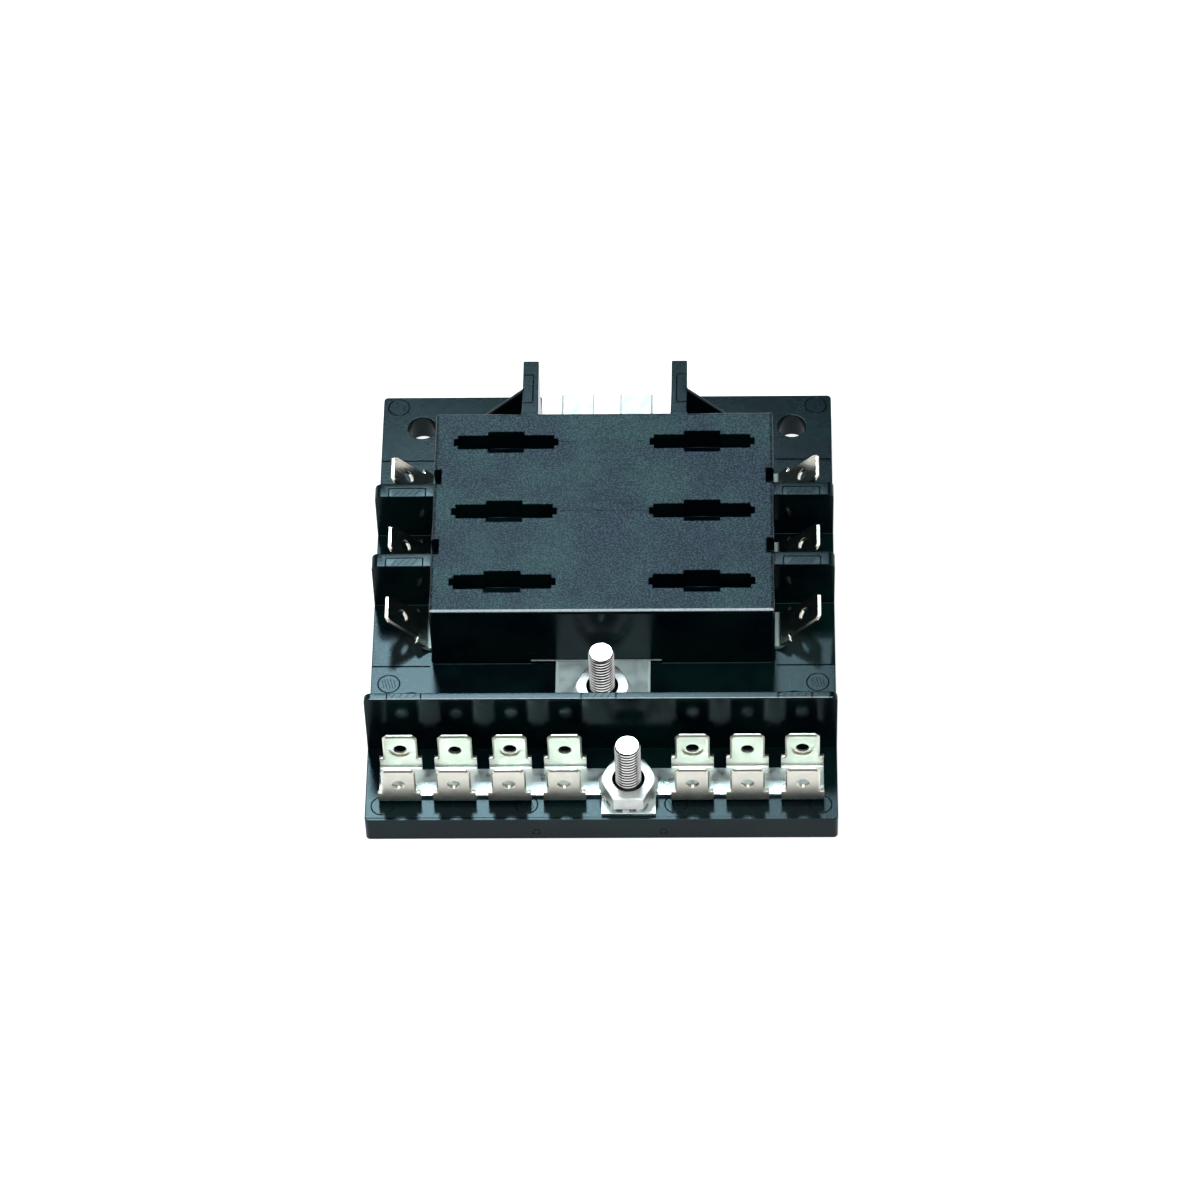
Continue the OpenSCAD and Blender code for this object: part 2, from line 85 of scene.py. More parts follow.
# Faces of the moulding, and radii of the thread and of the holes for it
BASE_TOP = GROUND_LOW.z
HOUSING_TOP = HOUSING_HIGH.z
HOUSING_FRONT = -14.7 * MM
HOUSING_REAR = 33.9 * MM
BARRIER_TOP = BASE_TOP + 11.7 * MM
DIVIDER_FRONT = -34.7 * MM
DIVIDER_TOP = BASE_TOP + 15.3 * MM
STUD_RADIUS = 2.4 * MM
STUD_HOLE = 2.45 * MM
NUT_BORE = 2.43 * MM

# Sockets of a Mix node: the two values and the result
MIX_SOCKETS = {"FLOAT": (2, 3, 0), "RGBA": (6, 7, 2)}


def mm(x, y, z):
    """A place given in millimetres."""
    return Vector((x, y, z)) * MM


# Modelling helpers


def deselect_all():
    """Leaves edit mode and selects nothing."""
    active = bpy.context.view_layer.objects.active
    if active is not None and active.mode != "OBJECT":
        bpy.ops.object.mode_set(mode="OBJECT")
    bpy.ops.object.select_all(action="DESELECT")


def activate(piece):
    """Makes one piece the only selected one."""
    deselect_all()
    piece.select_set(True)
    bpy.context.view_layer.objects.active = piece


def named(name):
    """Names the object that an operator has just added, and puts its place into its mesh."""
    piece = bpy.context.object
    piece.name = name
    piece.data.name = name
    bpy.ops.object.transform_apply(location=True, rotation=True, scale=True)
    return piece


def add_block(name, low, high):
    """A block between two corners."""
    deselect_all()
    low, high = Vector(low), Vector(high)
    bpy.ops.mesh.primitive_cube_add(size=1, location=(low + high) / 2)
    bpy.context.object.scale = high - low
    return named(name)


def add_rod(name, centre, radius, length, axis="Z", sides=32, top_radius=None, turn=0.0, tilt=None):
    """A round or many-sided rod, or a cone, along an axis or at a tilt about Y."""
    deselect_all()
    turns = {"X": (0, math.pi / 2, turn), "Y": (math.pi / 2, 0, 0), "Z": (0, 0, turn)}
    rotation = turns[axis] if tilt is None else (0, tilt, 0)
    top = radius if top_radius is None else top_radius
    bpy.ops.mesh.primitive_cone_add(vertices=sides, radius1=radius, radius2=top, depth=length,
                                    location=centre, rotation=rotation)
    return named(name)


def add_post(name, place, low, high, radius, **shape):
    """An upright rod between two heights."""
    return add_rod(name, (place.x, place.y, (low + high) / 2), radius, high - low, **shape)


def add_ring(name, centre, radius, wire, axis="Z"):
    """A thin ring."""
    deselect_all()
    rotation = (math.pi / 2, 0, 0) if axis == "Y" else (0, 0, 0)
    bpy.ops.mesh.primitive_torus_add(major_segments=40, minor_segments=8, major_radius=radius,
                                     minor_radius=wire, location=centre, rotation=rotation)
    return named(name)


@contextmanager
def editing(piece):
    """Edit mode on one piece."""
    activate(piece)
    bpy.ops.object.mode_set(mode="EDIT")
    bpy.ops.mesh.select_mode(type="FACE")
    yield
    bpy.ops.object.mode_set(mode="OBJECT")


def pick(piece, kind, test):
    """In edit mode, selects the faces or edges that pass a test, of which there has to be one."""
    bpy.ops.mesh.select_mode(type=kind)
    bpy.ops.mesh.select_all(action="DESELECT")
    shape = bmesh.from_edit_mesh(piece.data)
    picked = [part for part in (shape.faces if kind == "FACE" else shape.edges) if test(part)]
    if not picked:
        raise RuntimeError(f"no {kind.lower()} to pick on {piece.name}")
    for part in picked:
        part.select_set(True)
    bmesh.update_edit_mesh(piece.data)


def pick_faces(piece, test):
    """In edit mode, selects the faces whose centre and normal pass a test."""
    pick(piece, "FACE", lambda face: test(face.calc_center_median(), face.normal))


def pick_edges(piece, test):
    """In edit mode, selects the edges whose two ends pass a test."""
    pick(piece, "EDGE", lambda edge: test(edge.verts[0].co, edge.verts[1].co))


def pick_all():
    """In edit mode, selects everything."""
    bpy.ops.mesh.select_all(action="SELECT")


def cut_across(places, normal):
    """In edit mode, cuts every face along planes through the given places."""
    for place in places:
        pick_all()
        bpy.ops.mesh.bisect(plane_co=place, plane_no=normal)


def face_outwards():
    """In edit mode, turns every face outwards."""
    pick_all()
    bpy.ops.mesh.normals_make_consistent(inside=False)


def push(x, y, z):
    """In edit mode, extrudes the picked faces by an offset."""
    bpy.ops.mesh.extrude_region_move(TRANSFORM_OT_translate={"value": (x, y, z)})


def chamfer(width):
    """In edit mode, bevels the picked edges flat."""
    bpy.ops.mesh.bevel(offset=width, segments=1, affect="EDGES", clamp_overlap=False)


def bend(pivot, axis, angle, steps=8):
    """In edit mode, sweeps the picked faces round a bend; a positive angle follows the right hand."""
    bpy.ops.mesh.spin(steps=steps, angle=-angle, center=pivot, axis=axis)
    face_outwards()


def apply_modifier(piece, kind, **settings):
    """Adds a modifier with its settings and applies it."""
    activate(piece)
    modifier = piece.modifiers.new(kind.lower(), kind)
    for key, value in settings.items():
        setattr(modifier, key, value)
    bpy.ops.object.modifier_apply(modifier=modifier.name)


def join(name, pieces):
    """Joins pieces into one."""
    deselect_all()
    for piece in pieces:
        piece.select_set(True)
    bpy.context.view_layer.objects.active = pieces[0]
    if len(pieces) > 1:
        bpy.ops.object.join()
    return named(name)


def combine(piece, tools, operation):
    """Cuts, joins or trims a piece by tools, which are used up."""
    tool = join("tool", tools)
    apply_modifier(piece, "BOOLEAN", operation=operation, object=tool, solver="MANIFOLD")
    bpy.data.objects.remove(tool)


def soften(piece, width, segments=2, angle=50, clamp=False):
    """Breaks the sharp edges of a piece."""
    apply_modifier(piece, "BEVEL", width=width, segments=segments, limit_method="ANGLE",
                   angle_limit=math.radians(angle), use_clamp_overlap=clamp, miter_outer="MITER_SHARP")


def copied(piece, name, shift=(0, 0, 0), mirror_x=False, turn=0.0, about=(0, 0, 0)):
    """A copy of a piece with its own mesh, turned about an upright axis, mirrored and moved."""
    activate(piece)
    bpy.ops.object.duplicate()
    twin = bpy.context.object
    centre = Vector(about)
    place = Matrix.Translation(shift) @ Matrix.Translation(centre)
    place = place @ Matrix.Rotation(turn, 4, "Z") @ Matrix.Translation(-centre)
    if mirror_x:
        place = Matrix.Scale(-1, 4, (1, 0, 0)) @ place
    twin.matrix_world = place
    twin = named(name)
    if mirror_x:
        with editing(twin):
            face_outwards()
    return twin


def traced(node, name):
    """A merged copy of a frame node's mesh, with its flat faces in one piece."""
    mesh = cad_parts[node].data.copy()
    mesh.name = name
    mesh.materials.clear()
    piece = bpy.data.objects.new(name, mesh)
    bpy.context.scene.collection.objects.link(piece)
    with editing(piece):
        pick_all()
        bpy.ops.mesh.remove_doubles(threshold=MERGE)
        bpy.ops.mesh.customdata_custom_splitnormals_clear()
        bpy.ops.mesh.dissolve_limited(angle_limit=math.radians(0.5))
    return piece


def paint(piece, material):
    """Gives a piece one material."""
    piece.data.materials.clear()
    piece.data.materials.append(material)


def finish_piece(piece, material, node):
    """Smooths a piece, gives it its material and seats it on the frame."""
    activate(piece)
    bpy.ops.object.shade_smooth_by_angle(angle=SMOOTH_ANGLE)
    apply_modifier(piece, "WEIGHTED_NORMAL", keep_sharp=True, mode="FACE_AREA", weight=50)
    paint(piece, material)
    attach(piece, "root")
    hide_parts(node)


# Materials


def feed(tree, socket, value):
    """Feeds a socket from another one, or sets it to a number, a place or a colour."""
    if isinstance(value, bpy.types.NodeSocket):
        tree.links.new(value, socket)
    else:
        socket.default_value = (*value, 1) if socket.type == "RGBA" else value


def dress(tree, node, sockets):
    """Feeds a node's sockets, or sets those that are the same all over."""
    for label, value in sockets.items():
        feed(tree, node.inputs[label], value)


def add_node(tree, kind, sockets, **settings):
    """A shader node with its settings and its sockets; gives its outputs."""
    node = tree.nodes.new("ShaderNode" + kind)
    for key, value in settings.items():
        setattr(node, key, value)
    dress(tree, node, sockets)
    return node.outputs


def math_node(tree, operation, *values):
    """A Math node whose inputs are numbers or sockets; gives its output."""
    return add_node(tree, "Math", dict(enumerate(values)), operation=operation)[0]


def times(tree, first, *others):
    """The product of sockets and numbers."""
    for other in others:
        first = math_node(tree, "MULTIPLY", first, other)
    return first


def ramp(tree, value, low, high, to_low=0.0, to_high=1.0):
    """A smooth step of a value from one range to another."""
    sockets = {"Value": value, "From Min": low, "From Max": high, "To Min": to_low, "To Max": to_high}
    return add_node(tree, "MapRange", sockets, interpolation_type="SMOOTHSTEP")["Result"]


def varied(tree, share, first, second):
    """A number that goes from one to another as a share goes from 0 to 1."""
    return ramp(tree, share, 0.0, 1.0, first, second)


def window(tree, value, low, high, edge):
    """1 between two limits, falling off over a soft edge."""
    rise = ramp(tree, value, low - edge, low + edge)
    fall = ramp(tree, value, high - edge, high + edge, 1.0, 0.0)
    return times(tree, rise, fall)


def noise(tree, vector, scale, detail, roughness=0.5):
    """A noise texture; gives its value."""
    sockets = {"Vector": vector, "Scale": scale, "Detail": detail, "Roughness": roughness}
    return add_node(tree, "TexNoise", sockets)["Fac"]


def blend(tree, share, first, second, kind="RGBA"):
    """A colour, or a number, between two others."""
    first_place, second_place, result = MIX_SOCKETS[kind]
    sockets = {"Factor": share, first_place: first, second_place: second}
    return add_node(tree, "Mix", sockets, data_type=kind)[result]


def axes(tree, vector):
    """The X, Y and Z of coordinates."""
    return add_node(tree, "SeparateXYZ", {"Vector": vector})


def stretched(tree, vector, scale, shift=(0, 0, 0)):
    """Coordinates stretched along the axes, and then moved."""
    return add_node(tree, "Mapping", {"Vector": vector, "Scale": scale, "Location": shift})["Vector"]


def distance_from(tree, coordinates, place):
    """The distance from an upright axis."""
    flat = stretched(tree, coordinates, (1, 1, 0), (-place.x, -place.y, 0))
    return add_node(tree, "VectorMath", {0: flat}, operation="LENGTH")["Value"]


def bump(tree, shader, height, strength, distance):
    """Bumps a shader's surface by a height."""
    sockets = {"Height": height, "Strength": strength, "Distance": distance}
    dress(tree, shader, {"Normal": add_node(tree, "Bump", sockets)["Normal"]})


def node_group(name, values, outputs):
    """An empty node group that takes coordinates and named values, its inputs, and its end node."""
    group = bpy.data.node_groups.new(name, "ShaderNodeTree")
    group.interface.new_socket(name="Vector", in_out="INPUT", socket_type="NodeSocketVector")
    for label, value in values.items():
        socket = group.interface.new_socket(name=label, in_out="INPUT", socket_type="NodeSocketFloat")
        socket.default_value = value
    for label in outputs:
        group.interface.new_socket(name=label, in_out="OUTPUT", socket_type="NodeSocketFloat")
    return group, group.nodes.new("NodeGroupInput").outputs, group.nodes.new("NodeGroupOutput")


def grain_group():
    """Fine grain and large soft patches."""
    found = bpy.data.node_groups.get("Grain and Patches")
    if found:
        return found
    scales = {"Grain Scale": 3000.0, "Patch Scale": 90.0}
    group, given, end = node_group("Grain and Patches", scales, ("Grain", "Patches"))
    fine = noise(group, given["Vector"], given["Grain Scale"], 3.0, 0.6)
    broad = noise(group, given["Vector"], given["Patch Scale"], 3.0, 0.55)
    dress(group, end, {"Grain": ramp(group, fine, 0.3, 0.7), "Patches": ramp(group, broad, 0.35, 0.65)})
    return group


def scuff_group():
    """Fine scratches that run along X."""
    found = bpy.data.node_groups.get("Scuffs")
    if found:
        return found
    streaks = (130, 2600, 130)
    highest, spread, edge = 0.78, 0.3, 0.08
    group, given, end = node_group("Scuffs", {"Amount": 0.5}, ("Scuffs",))
    along = noise(group, stretched(group, given["Vector"], streaks), 1.0, 2.0)
    threshold = math_node(group, "SUBTRACT", highest, times(group, given["Amount"], spread))
    above = math_node(group, "SUBTRACT", along, threshold)
    dress(group, end, {"Scuffs": ramp(group, above, 0.0, edge)})
    return group


def placed_group(tree, group, vector, **values):
    """A node group in a material, fed with coordinates and its own values; gives its outputs."""
    sockets = {label.replace("_", " ").title(): value for label, value in values.items()}
    return add_node(tree, "Group", {"Vector": vector, **sockets}, node_tree=group)


def new_material(name):
    """A material with a Principled shader; gives the material, tree, shader and object coordinates."""
    material = bpy.data.materials.new(name)
    material.use_nodes = True
    tree = material.node_tree
    return material, tree, tree.nodes["Principled BSDF"], add_node(tree, "TexCoord", {})["Object"]


def edge_highlight_band(tree, y, z, front, top, width):
    """1 along the front edge of a wall's top, over a width, where a highlight is painted."""
    near_front = ramp(tree, y, front + 0.75 * width, front + width, 1.0, 0.0)
    near_top = ramp(tree, z, top - 0.4 * width, top - 0.27 * width)
    return times(tree, near_front, near_top)


def plastic_material(look):
    """Black moulded plastic: glossy walls and base, a textured, scuffed housing top whose specks also paint
    its sheen, and painted highlights along the front edges and the line of flash.
    """
    found = bpy.data.materials.get("Black Moulded Plastic")
    if found:
        return found
    material, tree, shader, coordinates = new_material("Black Moulded Plastic")
    grain, patches = placed_group(tree, grain_group(), coordinates, grain_scale=3200.0, patch_scale=75.0)
    scuffs = placed_group(tree, scuff_group(), coordinates, amount=0.62)["Scuffs"]
    x, y, z = axes(tree, coordinates)
    front = HOUSING_FRONT
    top = ramp(tree, z, HOUSING_TOP - 0.25 * MM, HOUSING_TOP - 0.05 * MM)
    textured = times(tree, top, window(tree, y, front + 0.72 * MM, HOUSING_REAR, 0.12 * MM))
    scuffed_x = window(tree, x, -3 * MM, 8 * MM, 3 * MM)
    scuffed_y = window(tree, y, 8 * MM, 28 * MM, 4 * MM)
    worn = times(tree, scuffed_x, top, scuffed_y, scuffs)
    # Painted highlight: a pale band along the line of flash and the front top edges of the housing and the
    # divider
    flash_y = window(tree, y, front - 0.3 * MM, front - 0.06 * MM, 0.02 * MM)
    flash_z = window(tree, z, 6.7 * MM, 7.0 * MM, 0.02 * MM)
    edge = math_node(tree, "MAXIMUM", edge_highlight_band(tree, y, z, front, HOUSING_TOP, 0.75 * MM),
                     edge_highlight_band(tree, y, z, DIVIDER_FRONT, DIVIDER_TOP, 0.2 * MM))
    edge = math_node(tree, "MAXIMUM", edge, times(tree, flash_y, flash_z))
    edge = times(tree, edge, varied(tree, grain, 0.7, 1.0))
    # Real grain of the textured top, its specks lightened and tinted to paint the top's sheen
    specks = times(tree, textured, ramp(tree, grain, 0.35, 0.75))
    body = blend(tree, patches, look.plastic_color, look.plastic_patch_color)
    body = blend(tree, specks, body, blend(tree, patches, look.speck_and_sheen_color, look.speck_and_sheen_patch_color))
    # Painted highlight on the front edges and the line of flash
    body = blend(tree, edge, body, look.edge_highlight_color)
    gloss = varied(tree, grain, look.gloss_roughness, look.gloss_roughness + 0.05)
    satin = varied(tree, patches, look.top_roughness + 0.03, look.top_roughness - 0.03)
    dress(tree, shader, {
        "Base Color": blend(tree, worn, body, look.scuff_color),
        "Roughness": blend(tree, textured, gloss, satin, "FLOAT"),
        "IOR": 1.3,
        "Specular Tint": look.plastic_sheen,
    })
    relief = math_node(tree, "SUBTRACT", times(tree, grain, varied(tree, textured, 0.2, 1.0)), worn)
    bump(tree, shader, relief, 1.0, 0.018 * MM)
    return material


def tin_material(look):
    """Tin-plated brass sheet: silvery and mottled with a painted cool reflection on the level strip and
    tongue, rubbed on the tongue and handled on the ground bus bar.
    """
    found = bpy.data.materials.get("Tin-Plated Brass")
    if found:
        return found
    material, tree, shader, coordinates = new_material("Tin-Plated Brass")
    grain, patches = placed_group(tree, grain_group(), coordinates, grain_scale=1700.0, patch_scale=420.0)
    scuffs = placed_group(tree, scuff_group(), coordinates, amount=0.5)["Scuffs"]
    x, y, z = axes(tree, coordinates)
    level = ramp(tree, z, BASE_TOP + 0.85 * MM, BASE_TOP + 1.2 * MM, 1.0, 0.0)
    body = blend(tree, patches, look.tin_color, look.tin_patch_color)
    # Painted cool reflection on the level strip and tongue
    body = blend(tree, times(tree, level, 0.8), body, look.tin_level_reflection_color)
    patchy = times(tree, math_node(tree, "SUBTRACT", patches, 0.5), varied(tree, level, 0.04, 0.16))
    rim = POWER_HIGH.x - 0.45 * MM
    rim_wear = ramp(tree, math_node(tree, "ABSOLUTE", x), rim - 0.05 * MM, rim + 0.05 * MM, 1.0, 1.8)
    rubbed = times(tree, level, ramp(tree, y, -32 * MM, -30 * MM, 0.0, look.tin_rubbing), rim_wear)
    dull = look.tin_roughness + look.tin_handling
    handled = ramp(tree, y, -35 * MM, -33 * MM, dull, look.tin_roughness)
    dress(tree, shader, {
        "Base Color": blend(tree, scuffs, body, look.tin_scratch_color),
        "Roughness": math_node(tree, "ADD", math_node(tree, "ADD", patchy, rubbed), handled),
        "Metallic": 1.0,
    })
    relief = math_node(tree, "ADD", times(tree, grain, 0.4), scuffs)
    bump(tree, shader, relief, 0.25, 0.012 * MM)
    return material


def steel_material(look):
    """Bright plated steel: smooth studs with painted shade in the thread roots and the nut's mouth, and
    duller nuts and washers.
    """
    found = bpy.data.materials.get("Plated Steel")
    if found:
        return found
    material, tree, shader, coordinates = new_material("Plated Steel")
    grain, patches = placed_group(tree, grain_group(), coordinates, grain_scale=2600.0, patch_scale=600.0)
    z = axes(tree, coordinates)["Z"]
    radius = math_node(tree, "MINIMUM", distance_from(tree, coordinates, POWER_STUD_AT),
                       distance_from(tree, coordinates, GROUND_STUD_AT))
    tip, nut_top = STUD_HIGH.z, NUT_HIGH.z
    # Painted shade in the thread roots below the tip and in the nut's countersunk mouth, where shade and dark
    # reflections fall
    roots = times(tree, ramp(tree, radius, 2.23 * MM, 2.3 * MM, 1.0, 0.0),
                  ramp(tree, z, tip - 0.08 * MM, tip - 0.04 * MM, 1.0, 0.0))
    mouth = times(tree, ramp(tree, radius, 3.05 * MM, 3.1 * MM, 1.0, 0.0),
                  window(tree, z, nut_top - 1.0 * MM, nut_top - 0.05 * MM, 0.02 * MM))
    painted_shade = math_node(tree, "MAXIMUM", roots, mouth)
    body = blend(tree, patches, look.steel_color, look.steel_patch_color)
    rough = varied(tree, grain, look.steel_roughness - 0.05, look.steel_roughness + 0.05)
    duller = ramp(tree, radius, 2.405 * MM, 2.425 * MM, 0.0, look.nut_dulling)
    dress(tree, shader, {
        "Base Color": blend(tree, painted_shade, body, look.painted_shade_color),
        "Roughness": math_node(tree, "ADD", rough, duller),
        "Metallic": 1.0,
    })
    bump(tree, shader, grain, 0.2, 0.008 * MM)
    return material


# Settings


def number(name, description, default, **kind):
    """A number from 0 up that a user can change."""
    return FloatProperty(name=name, description=description, default=default, min=0.0, **kind)


def tint(name, description, default):
    """A colour that a user can change."""
    return FloatVectorProperty(name=name, description=description, default=default, size=3,
                               min=0.0, max=1.0, subtype="COLOR")


metres = partial(number, unit="LENGTH", precision=5)
watts = partial(number, unit="POWER")
portion = partial(number, max=1.0, subtype="FACTOR")


class FuseBlockSizes(bpy.types.PropertyGroup):
    """Sizes of the moulded, stamped and turned details"""

    mould_edge: metres("Mould Edge", "Rounding of the moulding's edges", 0.18 * MM)
    mark_radius: metres("Pin Mark Radius", "Radius of an ejector pin's mark", 2.05 * MM)
    mark_depth: metres("Mark Depth", "Depth of the mould's marks and lines", 0.13 * MM)
    sheet: metres("Sheet", "Thickness of the stampings", 0.8 * MM)
    bend_radius: metres("Bend Radius", "Inside radius of the bends", 0.5 * MM)
    tab_width: metres("Tab Width", "Width of a push-on tab", 6.35 * MM)
    tab_chamfer: metres("Tab Chamfer", "Corner chamfer of a tab's tip", 0.8 * MM)
    tab_rim: metres("Tab Rim", "Bevel round a tab's blade", 0.3 * MM)
    tab_hole: metres("Tab Hole", "Radius of the hole in a tab", 1.2 * MM)
    tab_hole_drop: metres("Tab Hole Drop", "Distance of a tab's hole from its tip", 4.1 * MM)
    load_slope: number("Load Tab Slope", "Rise of a load tab", math.radians(45), subtype="ANGLE")
    shear_edge: metres("Shear Edge", "Rounding of the stampings' cut edges", 0.07 * MM)
    thread_pitch: metres("Thread Pitch", "Pitch of the studs' thread", 0.794 * MM)
    thread_depth: metres("Thread Depth", "Depth of the studs' thread", 0.3 * MM)
    nut_flats: metres("Nut Flats", "Distance across a nut's flats", 9.5 * MM)
    washer_teeth: IntProperty(name="Washer Teeth", description="Teeth of a lock washer", default=12, min=6)


class FuseBlockLook(bpy.types.PropertyGroup):
    """Colours and finishes"""

    plastic_color: tint("Plastic", "Colour of the moulding", (0.0008, 0.003, 0.006))
    plastic_patch_color: tint("Plastic Patches", "Lighter patches", (0.002, 0.011, 0.011))
    plastic_sheen: tint("Plastic Sheen", "Tint of the moulding's sheen", (0.64, 0.9, 1.0))
    # Specks: real grain, lightened and tinted to paint the top's sheen
    speck_and_sheen_color: tint("Specks and Painted Sheen", "Grain specks and painted sheen of the textured housing top", (0.044, 0.06, 0.09))
    speck_and_sheen_patch_color: tint("Speck Patches", "Greener patches of specks", (0.038, 0.082, 0.085))
    # Painted highlight along the front top edges and the line of flash
    edge_highlight_color: tint("Painted Edge Highlight", "Painted highlight along the front edges of the walls and the line of flash", (0.62, 0.67, 0.7))
    scuff_color: tint("Scuffs", "Colour of the scuffs on the housing", (0.006, 0.012, 0.018))
    gloss_roughness: portion("Gloss Roughness", "Roughness of the glossy walls and base", 0.12)
    top_roughness: portion("Top Roughness", "Roughness of the textured housing top", 0.3)
    tin_color: tint("Tin", "Colour of the stampings", (0.92, 0.87, 0.77))
    tin_patch_color: tint("Tin Patches", "Duller patches", (0.86, 0.82, 0.72))
    # Painted cool reflection on the level strip and tongue
    tin_level_reflection_color: tint("Painted Reflection on Level Tin", "Painted cool reflection on the strip and the tongue", (0.76, 0.92, 0.93))
    tin_scratch_color: tint("Tin Scratches", "Fine scratches", (0.86, 0.85, 0.8))
    tin_roughness: portion("Tin Roughness", "Roughness of the stampings", 0.2)
    tin_rubbing: portion("Tin Rubbing", "Roughness that rubbing adds to the tongue", 0.32)
    tin_handling: portion("Tin Handling", "Roughness that handling adds to the ground bus bar", 0.14)
    steel_color: tint("Steel", "Colour of the fasteners", (0.82, 0.82, 0.8))
    steel_patch_color: tint("Steel Patches", "Duller patches", (0.72, 0.72, 0.71))
    # Painted shade in the thread roots and the nut's mouth
    painted_shade_color: tint("Painted Shade", "Painted shade in the thread's roots and the nut's mouth", (0.025, 0.025, 0.025))
    steel_roughness: portion("Steel Roughness", "Roughness of the studs", 0.16)
    nut_dulling: portion("Nut Dulling", "Roughness added on the nuts and washers", 0.28)


class FuseBlockStage(bpy.types.PropertyGroup):
    """Camera, lamps and floor"""

    lens: number("Lens", "Focal length on a 36 mm sensor", 167.68, unit="CAMERA")
    softbox_power: watts("Softbox Power", "Lamp above and behind the block", 7.4)
    softbox_color: tint("Softbox Colour", "Colour of the softbox and the strip", (0.76, 0.94, 1.0))
    strip_power: watts("Strip Power", "Lamp above the block", 1.6)
    panel_power: watts("Panel Power", "Wide panel overhead", 4.9)
    world_fill: portion("World Fill", "Light from all round", 0.08)
    side_glow: portion("Side Glow", "Light from the left and the right", 0.7)
    floor_color: tint("Floor", "Colour of the floor", (0.8, 0.8, 0.8))
    floor_glow: portion("Floor Glow", "White that the floor adds for the camera", 0.7)
    floor_shine: portion("Floor Shine", "White that the floor adds in reflections", 0.35)


# Stampings


def square_edge(edge):
    """Whether an edge joins two faces at about a right angle, outwards."""
    return len(edge.link_faces) == 2 and edge.calc_face_angle_signed(0) > math.radians(60)


def blade_rims(piece, sizes, along, through, root):
    """Bevels the outline of the push-on blades, past their root; the sheet lies across a direction."""

    def on_rim(edge):
        first, second = (end.co for end in edge.verts)
        runs = (first.dot(along), second.dot(along))
        flat = abs((first - second).dot(through)) < NEAR
        return flat and min(runs) > root - NEAR and max(runs) > root + NEAR and square_edge(edge)

    with editing(piece):
        pick(piece, "EDGE", on_rim)
        chamfer(sizes.tab_rim)


def bore_for_stud(bar, stud):
    """Makes the hole that a stud passes through."""
    combine(bar, [add_rod("stud_hole", (stud.x, stud.y, BASE_TOP), STUD_HOLE, 3 * MM)], "DIFFERENCE")


def model_ground_bus(sizes):
    """Ground bus bar: one strip with a row of tabs bent up along each edge, and a pad for the stud."""
    strip_width, root_width, half_pad = 6.1 * MM, 7.9 * MM, 5 * MM
    pitch = 10.16 * MM
    dish_wide, dish_narrow, dish_depth = 2.5 * MM, 1.3 * MM, 0.6 * MM
    reach = sizes.bend_radius + sizes.sheet
    rear_edge = GROUND_HIGH.y - reach
    edges = {1: rear_edge, -1: rear_edge - strip_width}
    bend_top = BASE_TOP + reach
    shoulder = BASE_TOP + 3.3 * MM
    tip = GROUND_HIGH.z
    pad = (GROUND_STUD_AT.x - half_pad, GROUND_STUD_AT.x + half_pad)
    outer = GROUND_HIGH.x - root_width / 2
    tabs = [place * pitch - outer for place in range(4)] + [outer - place * pitch for place in range(3)]
    half = sizes.tab_width / 2

    def on_tab(x, width):
        return any(abs(x - tab) < width / 2 for tab in tabs)

    bar = add_block("ground_bus_bar_looks", (GROUND_LOW.x, edges[-1], BASE_TOP),
                    (GROUND_HIGH.x, rear_edge, BASE_TOP + sizes.sheet))
    steps = (-root_width / 2, -half, half, root_width / 2)
    cuts = [tab + step for tab in tabs for step in steps] + list(pad)
    cuts = [x for x in cuts if GROUND_LOW.x + NEAR < x < GROUND_HIGH.x - NEAR]
    with editing(bar):
        cut_across([(x, 0, 0) for x in cuts], (1, 0, 0))
        for side, edge_y in edges.items():
            pick_faces(bar, lambda c, n: n.y * side > FACING and abs(c.y - edge_y) < NEAR
                       and on_tab(c.x, root_width))
            bend((0, edge_y, bend_top), (1, 0, 0), side * math.pi / 2)
            pick_faces(bar, lambda c, n: n.z > FACING and abs(c.z - bend_top) < NEAR)
            push(0, 0, shoulder - bend_top)
            pick_faces(bar, lambda c, n: n.z > FACING and abs(c.z - shoulder) < NEAR
                       and on_tab(c.x, sizes.tab_width))
            push(0, 0, tip - shoulder)
        pick_faces(bar, lambda c, n: n.y < -FACING and abs(c.y - edges[-1]) < NEAR
                   and pad[0] < c.x < pad[1])
        push(0, GROUND_LOW.y - edges[-1], 0)
        pick_edges(bar, lambda a, b: min(a.z, b.z) > tip - NEAR and abs(a.x - b.x) < NEAR
                   and abs(abs(a.y - b.y) - sizes.sheet) < NEAR)
        chamfer(sizes.tab_chamfer)
        face_outwards()
    blade_rims(bar, sizes, Vector((0, 0, 1)), Vector((0, 1, 0)), shoulder)
    middle = sizes.bend_radius + sizes.sheet / 2
    hole_z = tip - sizes.tab_hole_drop
    holes = [add_rod("hole", (tab, edges[side] + side * middle, hole_z), sizes.tab_hole, 2 * MM, axis="Y")
             for side in SIDES for tab in tabs]
    combine(bar, holes, "DIFFERENCE")
    # Every second tab of the rear row has a ring coined round its hole
    dish_y = rear_edge + sizes.bend_radius
    dishes = [add_rod("dish", (tab, dish_y, hole_z), dish_wide, dish_depth, axis="Y", top_radius=dish_narrow)
              for tab in tabs[::2]]
    combine(bar, dishes, "DIFFERENCE")
    bore_for_stud(bar, GROUND_STUD_AT)
    soften(bar, sizes.shear_edge)
    return bar


